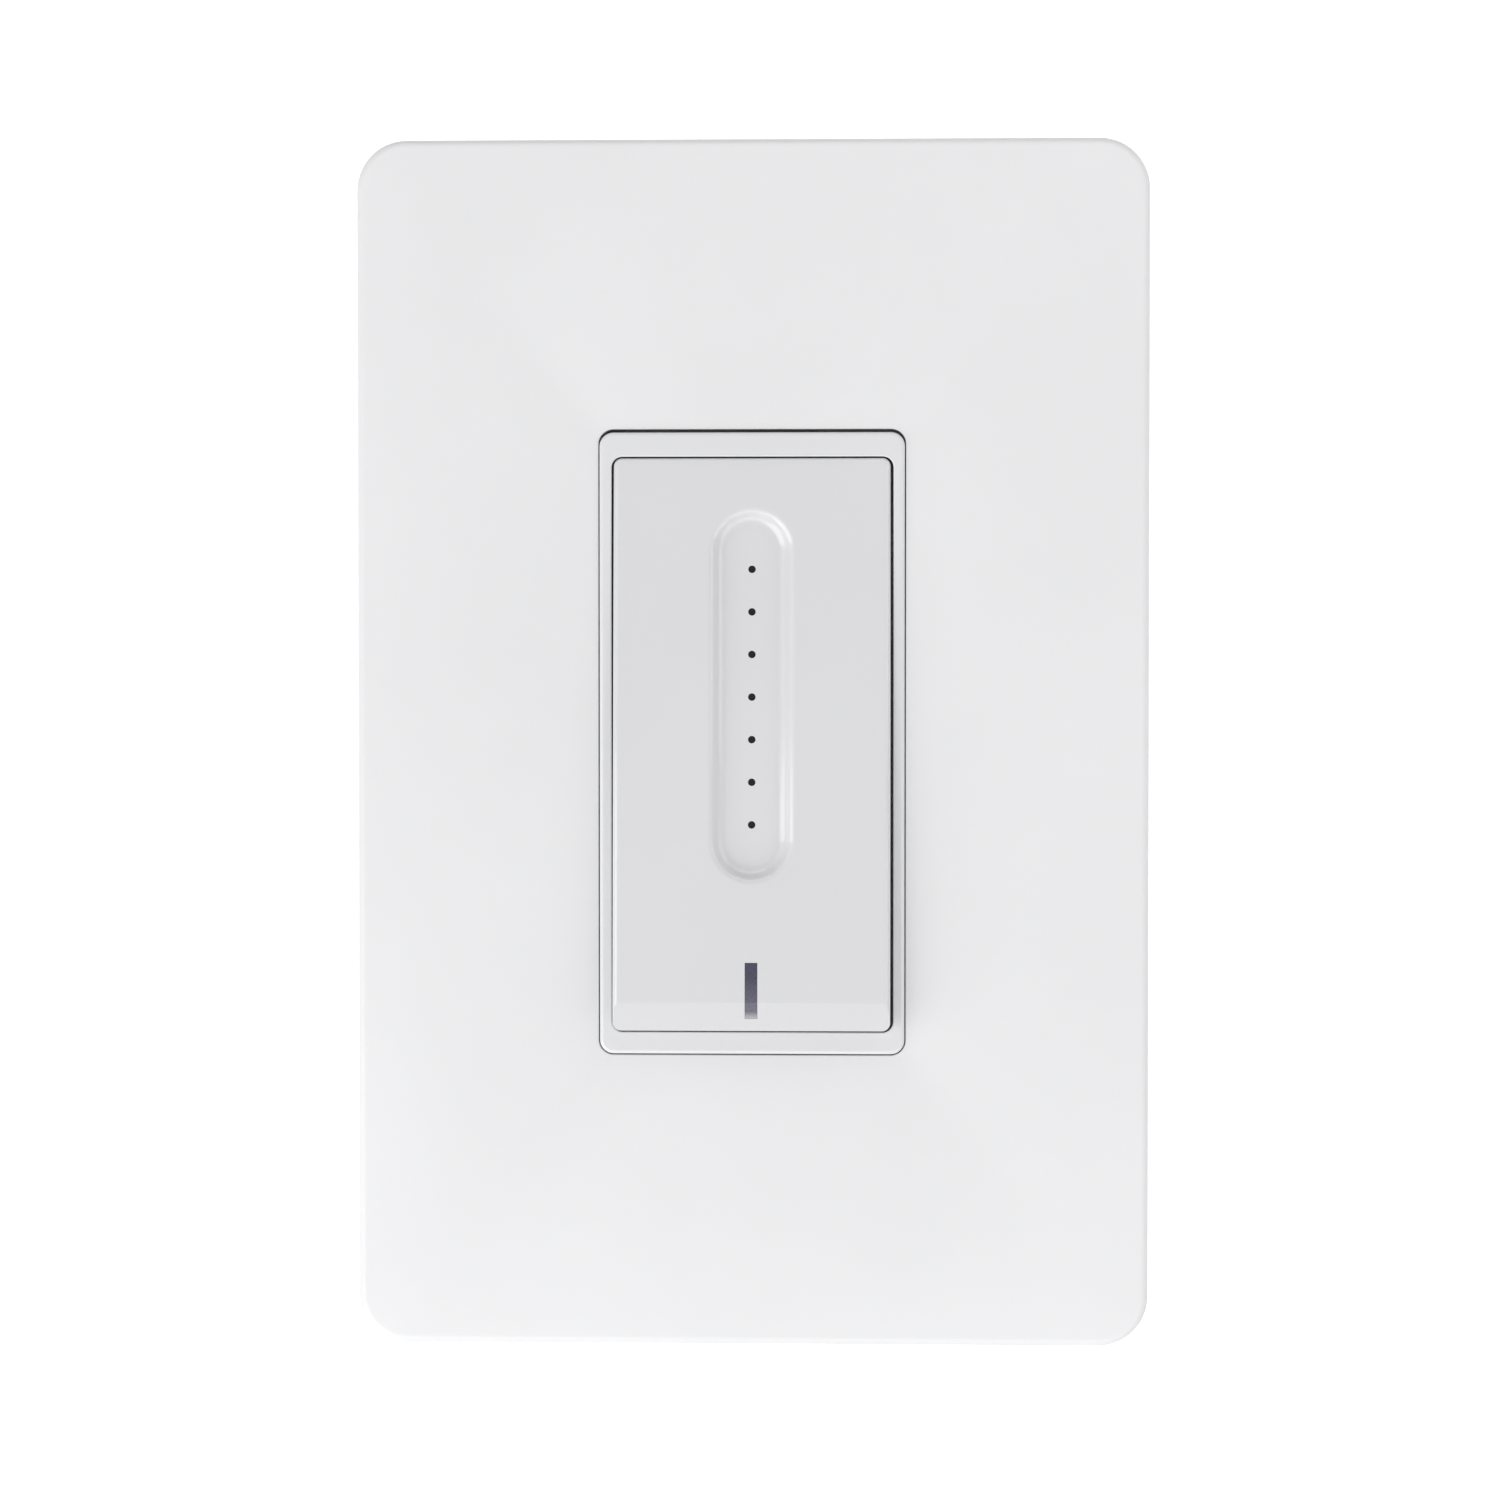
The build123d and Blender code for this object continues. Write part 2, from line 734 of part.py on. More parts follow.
def make_transistor_pads():
    return [
        block(side * transistor_x - 5.6, side * transistor_x + 5.6, 0, pad_thickness,
              transistor_z - 8.4, transistor_z + 8.4)
        for side in (-1, 1)
    ]


def make_power_transistors():
    devices = []
    back = pad_thickness + transistor_height
    for side in (-1, 1):
        x = side * transistor_x
        body = block(x - 5.1, x + 5.1, pad_thickness, back, transistor_z - 7.5, transistor_z + 7.5)
        body = chamfer(body.edges().filter_by(Axis.Z), 0.4)
        devices.append(body)
    return devices


def make_transistor_clamp():
    back = pad_thickness + transistor_height
    bar = block(-11, 11, back, back + 0.8, transistor_z - 3, transistor_z + 3)
    return bar - rod_y(0, clamp_screw_z, case_screw_radius + seat_gap, 0, back + 2)


def make_clamp_screw():
    seat = pad_thickness + transistor_height + 0.8
    head = Pos(0, seat, clamp_screw_z) * Rot(X=-90) * pan_head(2.6, 1.2)
    return head + rod_y(0, clamp_screw_z, case_screw_radius, yoke_front + 0.1, seat)


def make_insulating_sheet():
    """The film between the snap legs, cut round the connector and the case's screw columns."""
    low = -case_screw_z + 1
    high = transistor_z - 9
    sheet = slab(2 * snap_leg_x - 3, high - low, 1.0, 0.02, 0.27, (high + low) / 2)
    half = connector_length / 2 + 1
    sheet -= block(-half, half, -1, 1, connector_z - 2.5, connector_z + 2.5)
    for column in housing_columns(case_column_radius + 0.4, -1, 1):
        sheet -= column
    return sheet


# ---------------------------------------------------------------- main board and what stands on it
def make_main_board():
    board = slab(main_board_width, main_board_height, 1.0, main_board_depth, board_back)
    for column in housing_columns(case_column_radius + 0.4, 0, housing_depth):
        board -= column
    return board


def make_film_capacitor():
    body = block(-9, 9, board_back, board_back + 15, board_top - 8, board_top - 1)
    return fillet(body.edges().filter_by(Axis.Y), 0.8)


def make_electrolytic_capacitors():
    cans = []
    for x, below_top, radius, height in ((-7.5, 17.5, 5.0, 18.0), (4.0, 16.5, 4.0, 14.0)):
        z = board_top - below_top
        can = rod_y(x, z, radius, board_back, board_back + height)
        can = fillet(face_edges(can, board_back + height), 0.5)
        cans.append(can)
    return cans


core_outer = 8.5
core_inner = 4.5
core_height = 7.0
core_z = board_bottom + 14.5
core_y = 14.5
winding_count = 14
winding_wire = 1.0


def make_choke_core():
    ring = rod_y(0, core_z, core_outer, core_y - core_height / 2, core_y + core_height / 2)
    ring -= rod_y(0, core_z, core_inner, 0, core_y + core_height)
    return fillet(ring.edges().filter_by(GeomType.CIRCLE), 0.5)


def make_choke_winding():
    gap = 0.1
    inner = block(core_inner - gap, core_outer + gap, -core_height / 2 - gap, core_height / 2 + gap, -1, 1)
    wire = winding_wire
    outer = block(
        core_inner - gap - wire, core_outer + gap + wire,
        -core_height / 2 - gap - wire, core_height / 2 + gap + wire, -wire / 2, wire / 2,
    )
    loop = outer - inner
    turns = []
    for index in range(winding_count):
        angle = 30 + index * 300 / (winding_count - 1)
        turns.append(Pos(0, core_y, core_z) * Rot(Y=angle) * loop)
    return turns


def make_transformer_core():
    centre_y = board_back + 6.8
    shell = block(-6.5, 6.5, board_back + 0.8, centre_y + 6.0, -5.5, 4.5)
    shell -= block(-4.0, 4.0, board_back + 2.6, centre_y + 4.2, -6, 5)
    return shell + block(-1.8, 1.8, board_back + 2.6, centre_y + 4.2, -3.5, 2.5)


def make_transformer_bobbin():
    centre_y = board_back + 6.8
    coil = block(-3.9, 3.9, board_back + 2.7, centre_y + 4.1, -5.3, 4.3)
    return coil - block(-1.85, 1.85, board_back + 2.0, centre_y + 5.0, -3.55, 2.55)


def make_fuse():
    body = rod_y(10.5, board_top - 12, 2.6, board_back, board_back + 8)
    return fillet(face_edges(body, board_back + 8), 0.4)


def make_varistor():
    disc = Cylinder(5.0, 3.6)
    disc = fillet(disc.edges().filter_by(GeomType.CIRCLE), 1.0)
    return Pos(11.4, board_back + 5.6, board_bottom + 5.4) * disc


wifi_board_thickness = 0.8


def make_wifi_board():
    low = board_bottom + 1.6
    return block(-8, 8, board_back, board_back + 20, low, low + wifi_board_thickness)


def make_wifi_shield():
    low = board_bottom + 1.6 + wifi_board_thickness
    can = block(-6.5, 6.5, board_back + 3, board_back + 16, low, low + 1.2)
    return fillet(can.edges().filter_by(Axis.Z), 0.6)


# ---------------------------------------------------------------- write every node
def write_all():
    save("cover_plate", make_cover_plate())
    save("sub_plate", make_sub_plate())
    save("sub_plate_screws", *make_sub_plate_screws())
    save("bezel_frame", make_bezel_frame())
    save("paddle", make_paddle())
    save("dot_light_guide", make_dot_light_guide())
    save("status_light_pipe", make_status_light_pipe())
    save("return_springs", *make_return_springs())
    save("touch_board", make_touch_board())
    save("level_leds", *make_level_leds())
    save("led_shroud", make_led_shroud())
    save("status_led", make_status_led())
    save("touch_board_chips", *make_touch_board_chips())
    save("tact_switch_body", make_tact_switch_body())
    save("tact_switch_plunger", make_tact_switch_plunger())
    save("header_pins", *make_header_pins())
    save("header_socket", make_header_socket())
    save("yoke", make_yoke())
    save("ground_screw", make_ground_screw())
    save("ground_clamp", make_ground_clamp())
    save("box_screws", *make_box_screws())
    save("screw_retainer_washers", *make_screw_retainer_washers())
    save("rear_housing", make_rear_housing())
    save("case_screws", *make_case_screws())
    save("terminal_blades", *make_terminal_blades())
    save("terminal_clamps", *make_terminal_clamps())
    save("terminal_screws", *make_terminal_screws())
    save("transistor_pads", *make_transistor_pads())
    save("power_transistors", *make_power_transistors())
    save("transistor_clamp", make_transistor_clamp())
    save("clamp_screw", make_clamp_screw())
    save("insulating_sheet", make_insulating_sheet())
    save("main_board", make_main_board())
    save("film_capacitor", make_film_capacitor())
    save("electrolytic_capacitors", *make_electrolytic_capacitors())
    save("choke_core", make_choke_core())
    save("choke_winding", *make_choke_winding())
    save("transformer_core", make_transformer_core())
    save("transformer_bobbin", make_transformer_bobbin())
    save("fuse", make_fuse())
    save("varistor", make_varistor())
    save("wifi_board", make_wifi_board())
    save("wifi_shield", make_wifi_shield())


os.makedirs("parts", exist_ok=True)
write_all()
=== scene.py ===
"""Looks of the in-wall dimmer: materials, fine pieces, stage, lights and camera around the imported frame."""
import bmesh
import bpy
import json
import math
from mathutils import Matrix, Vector


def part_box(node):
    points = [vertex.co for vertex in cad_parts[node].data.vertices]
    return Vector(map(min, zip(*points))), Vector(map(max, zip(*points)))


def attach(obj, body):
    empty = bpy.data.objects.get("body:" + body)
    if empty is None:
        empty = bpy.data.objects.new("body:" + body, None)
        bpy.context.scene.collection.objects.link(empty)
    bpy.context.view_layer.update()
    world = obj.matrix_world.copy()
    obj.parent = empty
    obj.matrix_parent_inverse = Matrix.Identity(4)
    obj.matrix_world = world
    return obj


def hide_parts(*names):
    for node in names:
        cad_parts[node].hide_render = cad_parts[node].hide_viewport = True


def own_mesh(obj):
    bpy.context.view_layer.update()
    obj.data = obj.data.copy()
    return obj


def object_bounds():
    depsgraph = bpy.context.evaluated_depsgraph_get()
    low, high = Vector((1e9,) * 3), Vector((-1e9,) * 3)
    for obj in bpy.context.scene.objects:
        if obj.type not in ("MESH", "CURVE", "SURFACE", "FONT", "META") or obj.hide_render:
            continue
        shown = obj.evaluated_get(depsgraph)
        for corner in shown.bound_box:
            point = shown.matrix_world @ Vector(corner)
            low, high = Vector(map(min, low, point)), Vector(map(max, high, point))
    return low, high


MM = 0.001

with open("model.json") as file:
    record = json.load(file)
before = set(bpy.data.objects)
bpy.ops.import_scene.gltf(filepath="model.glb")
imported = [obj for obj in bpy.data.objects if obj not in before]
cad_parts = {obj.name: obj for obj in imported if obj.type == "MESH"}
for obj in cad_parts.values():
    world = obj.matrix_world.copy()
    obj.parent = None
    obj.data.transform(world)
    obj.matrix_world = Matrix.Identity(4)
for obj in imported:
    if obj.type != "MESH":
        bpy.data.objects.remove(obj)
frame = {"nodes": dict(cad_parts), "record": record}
cad_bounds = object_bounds()
nodes = frame["nodes"]


# ---------------------------------------------------------------- small node-tree helpers
class Tree:
    """One material's node tree, with short names for what the materials below repeat."""

    def __init__(self, name):
        self.material = bpy.data.materials.new(name)
        self.material.use_nodes = True
        self.tree = self.material.node_tree
        self.shader = next(n for n in self.tree.nodes if n.type == "BSDF_PRINCIPLED")
        self.place = self.tree.nodes.new("ShaderNodeTexCoord").outputs["Object"]

    def node(self, kind, **settings):
        made = self.tree.nodes.new(kind)
        for key, value in settings.items():
            setattr(made, key, value)
        return made

    def link(self, source, target):
        self.tree.links.new(source, target)

    def stretched(self, scale):
        mapping = self.node("ShaderNodeMapping")
        mapping.inputs["Scale"].default_value = scale
        self.link(self.place, mapping.inputs["Vector"])
        return mapping.outputs["Vector"]

    def noise(self, size_mm, detail=3.0, roughness=0.55, vector=None):
        """Fractal noise whose largest blobs are about size_mm across."""
        made = self.node("ShaderNodeTexNoise")
        made.inputs["Scale"].default_value = 1000.0 / size_mm
        made.inputs["Detail"].default_value = detail
        made.inputs["Roughness"].default_value = roughness
        self.link(vector or self.place, made.inputs["Vector"])
        return made.outputs["Fac"]

    def ranged(self, value, low, high, from_low=0.3, from_high=0.7):
        made = self.node("ShaderNodeMapRange")
        made.inputs["From Min"].default_value = from_low
        made.inputs["From Max"].default_value = from_high
        made.inputs["To Min"].default_value = low
        made.inputs["To Max"].default_value = high
        self.link(value, made.inputs["Value"])
        return made.outputs["Result"]

    def mixed(self, factor, colour_a, colour_b):
        made = self.node("ShaderNodeMix", data_type="RGBA")
        for name, colour in (("A_Color", colour_a), ("B_Color", colour_b)):
            socket = next(i for i in made.inputs if i.identifier == name)
            if isinstance(colour, tuple):
                socket.default_value = (*colour[:3], 1.0)
            else:
                self.link(colour, socket)
        self.link(factor, next(i for i in made.inputs if i.identifier == "Factor_Float"))
        return next(o for o in made.outputs if o.identifier == "Result_Color")

    def bumped(self, height, depth_mm, normal=None):
        made = self.node("ShaderNodeBump")
        made.inputs["Strength"].default_value = 1.0
        made.inputs["Distance"].default_value = depth_mm * MM
        self.link(height, made.inputs["Height"])
        if normal is not None:
            self.link(normal, made.inputs["Normal"])
        return made.outputs["Normal"]

    def set(self, **values):
        for key, value in values.items():
            socket = self.shader.inputs[key.replace("_", " ")]
            if isinstance(value, bpy.types.NodeSocket):
                self.link(value, socket)
            else:
                socket.default_value = value


def shade(colour, share):
    """A colour made lighter (share above 1) or darker."""
    return tuple(min(1.0, c * share) for c in colour)


# ---------------------------------------------------------------- materials
def moulded_plastic(name, colour, roughness, grain_mm, grain_depth_mm, wave_depth_mm=0.0006, coat=0.0):
    """Injection-moulded plastic: mould grain, faint flow waviness and a slight tone variation."""
    t = Tree(name)
    tone = t.ranged(t.noise(26.0, 2.0), 0.0, 1.0)
    speck = t.noise(grain_mm * 2.5, 4.0)
    grain = t.noise(grain_mm, 3.0, 0.6)
    wave = t.bumped(t.noise(14.0, 1.0), wave_depth_mm)
    t.set(
        Base_Color=t.mixed(tone, shade(colour, 0.985), shade(colour, 1.01)),
        Roughness=t.ranged(speck, roughness * 0.88, roughness * 1.12),
        Normal=t.bumped(grain, grain_depth_mm, wave),
    )
    t.shader.inputs["Coat Weight"].default_value = coat
    t.shader.inputs["Coat Roughness"].default_value = 0.08
    t.shader.inputs["IOR"].default_value = 1.5
    return t.material


def ridge(tree, value, at_mm, half_width_mm):
    """1 on a line where a coordinate has one value, falling to 0 at both sides."""
    off = tree.node("ShaderNodeMath", operation="SUBTRACT")
    tree.link(value, off.inputs[0])
    off.inputs[1].default_value = at_mm * MM
    away = tree.node("ShaderNodeMath", operation="ABSOLUTE")
    tree.link(off.outputs["Value"], away.inputs[0])
    return tree.ranged(away.outputs["Value"], 1.0, 0.0, 0.0, half_width_mm * MM)


parting_line_depth = 9.0
parting_line_half_width = 0.12


def housing_plastic(name):
    """Black flame-retardant plastic: spark-eroded grain, a parting line and faint paler scuffs."""
    t = Tree(name)
    parts = t.node("ShaderNodeSeparateXYZ")
    t.link(t.place, parts.inputs["Vector"])
    parting = ridge(t, parts.outputs["Y"], parting_line_depth, parting_line_half_width)
    grain = t.noise(0.28, 3.0, 0.6)
    scuff = t.ranged(t.noise(7.0, 6.0, 0.75), 0.0, 1.0, 0.58, 0.72)
    dust = t.mixed(t.ranged(t.noise(18.0, 3.0), 0.0, 1.0), (0.030, 0.030, 0.032), (0.042, 0.042, 0.044))
    t.set(
        Base_Color=t.mixed(scuff, dust, (0.065, 0.064, 0.062)),
        Roughness=t.ranged(grain, 0.46, 0.62),
        Normal=t.bumped(parting, 0.05, t.bumped(grain, 0.014)),
    )
    return t.material


def label_film(name):
    """Blank silver polyester label with a faint lay."""
    t = Tree(name)
    lay = t.noise(0.6, 2.0, 0.5, t.stretched((1, 12, 1)))
    t.set(
        Base_Color=t.mixed(lay, (0.52, 0.53, 0.54), (0.60, 0.61, 0.62)),
        Roughness=t.ranged(t.noise(3.0, 3.0), 0.30, 0.42),
        Normal=t.bumped(lay, 0.003),
        Metallic=0.6,
    )
    return t.material


def worked_metal(name, colour, roughness, stretch, line_depth_mm, dark_share=0.7):
    """Rolled, drawn or plated metal: fine lines along the working direction and cloudy tarnish."""
    t = Tree(name)
    lines = t.noise(0.5, 4.0, 0.6, t.stretched(stretch))
    cloud = t.noise(5.0, 5.0, 0.65)
    t.set(
        Base_Color=t.mixed(t.ranged(cloud, 0.0, 1.0), shade(colour, dark_share), colour),
        Roughness=t.ranged(cloud, roughness * 1.25, roughness * 0.8),
        Normal=t.bumped(lines, line_depth_mm),
        Metallic=1.0,
    )
    return t.material


def circuit_board(name):
    """Green solder mask over faint copper tracks, with a fine weave under it."""
    t = Tree(name)
    tracks = t.node("ShaderNodeTexBrick")
    tracks.inputs["Scale"].default_value = 240.0
    tracks.inputs["Mortar Size"].default_value = 0.06
    tracks.inputs["Mortar Smooth"].default_value = 0.2
    flat = t.node("ShaderNodeMapping")
    flat.inputs["Rotation"].default_value = (math.radians(90), 0, 0)
    t.link(t.place, flat.inputs["Vector"])
    t.link(flat.outputs["Vector"], tracks.inputs["Vector"])
    weave = t.noise(0.4, 2.0)
    mask = t.mixed(tracks.outputs["Fac"], (0.015, 0.13, 0.045), (0.03, 0.21, 0.075))
    t.set(
        Base_Color=mask,
        Roughness=t.ranged(weave, 0.22, 0.34),
        Normal=t.bumped(tracks.outputs["Fac"], 0.02, t.bumped(weave, 0.004)),
    )
    return t.material


def smoked_plastic(name, colour, roughness):
    """Dark translucent light-guide plastic seen unlit."""
    t = Tree(name)
    cloud = t.noise(1.5, 2.0)
    t.set(
        Base_Color=t.mixed(t.ranged(cloud, 0.0, 1.0), shade(colour, 0.9), shade(colour, 1.1)),
        Roughness=t.ranged(t.noise(0.3, 3.0), roughness * 0.8, roughness * 1.2),
        Normal=t.bumped(t.noise(0.8, 2.0), 0.0008),
    )
    t.shader.inputs["Coat Weight"].default_value = 0.3
    return t.material


def height_ramp(tree, low_mm, high_mm):
    """0 below one height of the object, 1 above another."""
    parts = tree.node("ShaderNodeSeparateXYZ")
    tree.link(tree.place, parts.inputs["Vector"])
    return tree.ranged(parts.outputs["Z"], 0.0, 1.0, low_mm * MM, high_mm * MM)


paddle_lip_height = 3.0


def light_bar_plastic(name):
    """Slate light-guide plastic with painted light: lighter down towards the paddle's lip crease, and painted
    pale on the lip below it, where the lip catches the light from below.
    """
    t = Tree(name)
    top_of_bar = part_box("status_light_pipe")[1].z / MM
    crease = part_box("paddle")[0].z / MM + paddle_lip_height
    # painted light: the bar is darker at its top and painted lighter down towards the lip crease
    body = t.mixed(height_ramp(t, crease, top_of_bar - 2.5), (0.135, 0.132, 0.175), (0.072, 0.070, 0.105))
    # painted light: the bar is painted pale on the lip facet below the crease, where the lip faces the light
    # from below
    painted_lit_lip = t.mixed(height_ramp(t, crease - 1.7, crease - 0.9), (0.50, 0.50, 0.54), (0.165, 0.162, 0.20))
    t.set(
        Base_Color=t.mixed(height_ramp(t, crease - 0.05, crease + 0.05), painted_lit_lip, body),
        Roughness=t.ranged(t.noise(0.3, 3.0), 0.24, 0.34),
        Normal=t.bumped(t.noise(0.8, 2.0), 0.0006),
    )
    return t.material


materials = {
    "cover_white": moulded_plastic("cover_white", (0.80, 0.80, 0.81), 0.40, 0.35, 0.0004),
    "bezel_white": moulded_plastic("bezel_white", (0.76, 0.76, 0.78), 0.16, 0.30, 0.0001),
    "paddle_white": moulded_plastic("paddle_white", (0.735, 0.735, 0.755), 0.16, 0.30, 0.0001, coat=0.8),
    "smoked_clear": smoked_plastic("smoked_clear", (0.006, 0.006, 0.008), 0.3),
    "smoked_bar": light_bar_plastic("smoked_bar"),
    "sub_plate_grey": moulded_plastic("sub_plate_grey", (0.60, 0.60, 0.58), 0.5, 0.4, 0.003),
    "zinc_steel": worked_metal("zinc_steel", (0.62, 0.62, 0.58), 0.34, (1, 1, 8), 0.002),
    "spring_steel": worked_metal("spring_steel", (0.55, 0.55, 0.56), 0.3, (1, 6, 1), 0.001),
    "yoke_metal": worked_metal("yoke_metal", (0.72, 0.73, 0.74), 0.38, (8, 8, 0.6), 0.003, 0.82),
    "fibre_card": moulded_plastic("fibre_card", (0.42, 0.31, 0.20), 0.9, 0.2, 0.02),
    "ground_green": moulded_plastic("ground_green", (0.03, 0.24, 0.09), 0.3, 0.2, 0.001, coat=0.4),
    "brass": worked_metal("brass", (0.74, 0.56, 0.27), 0.28, (1, 8, 1), 0.002, 0.75),
    "housing_dark": housing_plastic("housing_dark"),
    "board_green": circuit_board("board_green"),
    "black_resin": moulded_plastic("black_resin", (0.028, 0.028, 0.03), 0.5, 0.15, 0.004),
    "black_nylon": moulded_plastic("black_nylon", (0.035, 0.035, 0.038), 0.45, 0.3, 0.003),
    "led_clear": moulded_plastic("led_clear", (0.85, 0.80, 0.45), 0.2, 0.3, 0.001, coat=0.5),
    "shroud_white": moulded_plastic("shroud_white", (0.80, 0.80, 0.78), 0.5, 0.3, 0.003),
    "film_clear": moulded_plastic("film_clear", (0.55, 0.38, 0.12), 0.25, 0.8, 0.002),
    "pad_grey": moulded_plastic("pad_grey", (0.42, 0.45, 0.48), 0.7, 0.3, 0.004),
    "capacitor_film": moulded_plastic("capacitor_film", (0.75, 0.50, 0.06), 0.35, 0.4, 0.003),
    "capacitor_sleeve": moulded_plastic("capacitor_sleeve", (0.03, 0.04, 0.10), 0.28, 0.5, 0.002),
    "ferrite": moulded_plastic("ferrite", (0.06, 0.06, 0.065), 0.6, 0.15, 0.01),
    "copper_wire": worked_metal("copper_wire", (0.70, 0.28, 0.12), 0.3, (1, 1, 1), 0.002, 0.8),
    "yellow_tape": moulded_plastic("yellow_tape", (0.80, 0.62, 0.08), 0.3, 0.8, 0.003),
    "fuse_black": moulded_plastic("fuse_black", (0.04, 0.04, 0.04), 0.3, 0.4, 0.002),
    "varistor_blue": moulded_plastic("varistor_blue", (0.04, 0.14, 0.45), 0.3, 0.8, 0.01, coat=0.3),
    "tinned_steel": worked_metal("tinned_steel", (0.72, 0.72, 0.70), 0.3, (1, 8, 1), 0.001),
    "label_silver": label_film("label_silver"),
}


def dress_cad_nodes():
    slot_of = {part["node"]: part["material_slot"] for part in frame["record"]["subparts"]}
    for name, obj in nodes.items():
        obj.data.materials.clear()
        obj.data.materials.append(materials[slot_of[name]])


dress_cad_nodes()


# ---------------------------------------------------------------- helpers for the pieces built in mesh code
# lengths below are in millimetres until they become a mesh
def node_box(name):
    low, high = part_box(name)
    return low / MM, high / MM


def rounded_loop(width, height, corner, depth, middle=0.0, steps=14):
    """Points round a rounded rectangle at one depth, the same number whatever its size."""
    points = []
    for quarter, (side_x, side_z) in enumerate(((1, 1), (-1, 1), (-1, -1), (1, -1))):
        centre_x = side_x * (width / 2 - corner)
        centre_z = middle + side_z * (height / 2 - corner)
        for step in range(steps + 1):
            angle = math.radians(90 * (quarter + step / steps))
            points.append((centre_x + corner * math.cos(angle), depth, centre_z + corner * math.sin(angle)))
    return points


def add_ring(bm, loops):
    """A closed skin through loops that follow each other round a ring's section."""
    rows = [[bm.verts.new(point) for point in loop] for loop in loops]
    for index, row in enumerate(rows):
        following = rows[(index + 1) % len(rows)]
        for k in range(len(row)):
            after = (k + 1) % len(row)
            bm.faces.new((row[k], row[after], following[after], following[k]))


def add_block(bm, low, high, edge=0.15):
    """A block with softened edges between two corners."""
    made = bmesh.ops.create_cube(bm, size=1.0)["verts"]
    for vert in made:
        vert.co = [low[i] if vert.co[i] < 0 else high[i] for i in range(3)]
    edges = list({e for vert in made for e in vert.link_edges})
    bmesh.ops.bevel(bm, geom=edges, offset=edge, segments=2, profile=0.5, affect="EDGES")


def add_tube(bm, rows):
    """A closed tube through rings of points, with a flat end at each side."""
    made = [[bm.verts.new(point) for point in row] for row in rows]
    for first, second in zip(made, made[1:]):
        for k in range(len(first)):
            after = (k + 1) % len(first)
            bm.faces.new((first[k], first[after], second[after], second[k]))
    bm.faces.new(made[0])
    bm.faces.new(made[-1])


def add_piece(name, bm, body, finish, stands_for=(), sharp_angle=35):
    """Turn a bmesh in millimetres into a smooth-shaded piece that rides on a body."""
    bmesh.ops.scale(bm, vec=(MM, MM, MM), verts=bm.verts)
    bmesh.ops.recalc_face_normals(bm, faces=bm.faces)
    mesh = bpy.data.meshes.new(name)
    bm.to_mesh(mesh)
    bm.free()
    mesh.polygons.foreach_set("use_smooth", [True] * len(mesh.polygons))
    mesh.set_sharp_from_angle(angle=math.radians(sharp_angle))
    mesh.materials.append(materials[finish])
    piece = bpy.data.objects.new(name, mesh)
    bpy.context.scene.collection.objects.link(piece)
    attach(piece, body)
    if stands_for:
        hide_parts(*stands_for)
    return piece


# ---------------------------------------------------------------- cover plate
plate_corner = 5.4
plate_wall = 2.0
plate_edge = 0.9
opening_size = (32.77, 66.8)
opening_corner = 1.6
opening_lift = 0.11
opening_edge = 0.12
arc_steps = 8
rib_inset = 5
rib_half_thickness = 0.6
rib_half_length = 4
rib_root = 0.5
hook_x = 22.0
hook_half_width = 4
hook_thickness = 1.0
hook_clearance = 0.03
hook_reach = 0.9
hook_root = 0.5


def plate_loops(width, height, front):
    """The plate's section: outer wall, rounded edge, face, opening, inner face, inner wall."""
    loops = [rounded_loop(width, height, plate_corner, 0.0)]
    for step in range(arc_steps + 1):
        angle = math.radians(90 * step / arc_steps)
        inset = plate_edge * (1 - math.cos(angle))
        depth = front + plate_edge * (1 - math.sin(angle))
        loops.append(rounded_loop(width - 2 * inset, height - 2 * inset, plate_corner - inset, depth))
    for step in range(arc_steps // 2 + 1):
        angle = math.radians(90 * step / (arc_steps // 2))
        grown = opening_edge * (1 - math.sin(angle))
        depth = front + opening_edge * (1 - math.cos(angle))
        across, up = (size + 2 * grown for size in opening_size)
        loops.append(rounded_loop(across, up, opening_corner + grown, depth, opening_lift))
    inner = front + plate_wall
    loops.append(rounded_loop(*opening_size, opening_corner, inner, opening_lift))
    hollow = (width - 2 * plate_wall, height - 2 * plate_wall, plate_corner - plate_wall)
    loops.append(rounded_loop(*hollow, inner))
    loops.append(rounded_loop(*hollow, 0.0))
    return loops


def make_cover_plate():
    """The snap-on cover with its finely rounded edges, standing ribs and snap hooks."""
    low, high = node_box("cover_plate")
    sub_low, sub_high = node_box("sub_plate")
    width, height, front = high.x - low.x, high.z - low.z, low.y
    bm = bmesh.new()
    add_ring(bm, plate_loops(width, height, front))
    inner = front + plate_wall
    rib_x = sub_high.x - rib_inset
    for share in (-0.35, 0.0, 0.35):
        z = share * height
        for x in (-rib_x, rib_x):
            corner_low = (x - rib_half_thickness, inner - rib_root, z - rib_half_length)
            corner_high = (x + rib_half_thickness, sub_low.y, z + rib_half_length)
            add_block(bm, corner_low, corner_high)
    hook_front = sub_high.y + hook_clearance
    for side in (-1, 1):
        ends = sorted((side * (sub_high.z - hook_reach), side * (high.z - plate_wall + hook_root)))
        for x in (-hook_x, hook_x):
            corner_low = (x - hook_half_width, hook_front, ends[0])
            corner_high = (x + hook_half_width, hook_front + hook_thickness, ends[1])
            add_block(bm, corner_low, corner_high)
    add_piece("cover_plate_fine", bm, "device", "cover_white", ["cover_plate"])


# ---------------------------------------------------------------- return springs
spring_turns = 6
spring_wire = 0.2
points_per_turn = 30
wire_sides = 12
closed_pitch = 0.42
open_pitch_gain = 0.75


def spring_depths(start, end):
    """Depth of the wire at each step: closed turns at both ends, open turns between."""
    count = spring_turns * points_per_turn
    pitches = []
    for step in range(count):
        turn = (step + 0.5) / points_per_turn
        open_share = min(1.0, max(0.0, min(turn, spring_turns - turn) - 0.6) / 0.5)
        pitches.append(closed_pitch + open_pitch_gain * open_share)
    scale = (end - start) / sum(pitches)
    depths = [start]
    for pitch in pitches:
        depths.append(depths[-1] + pitch * scale)
    return depths


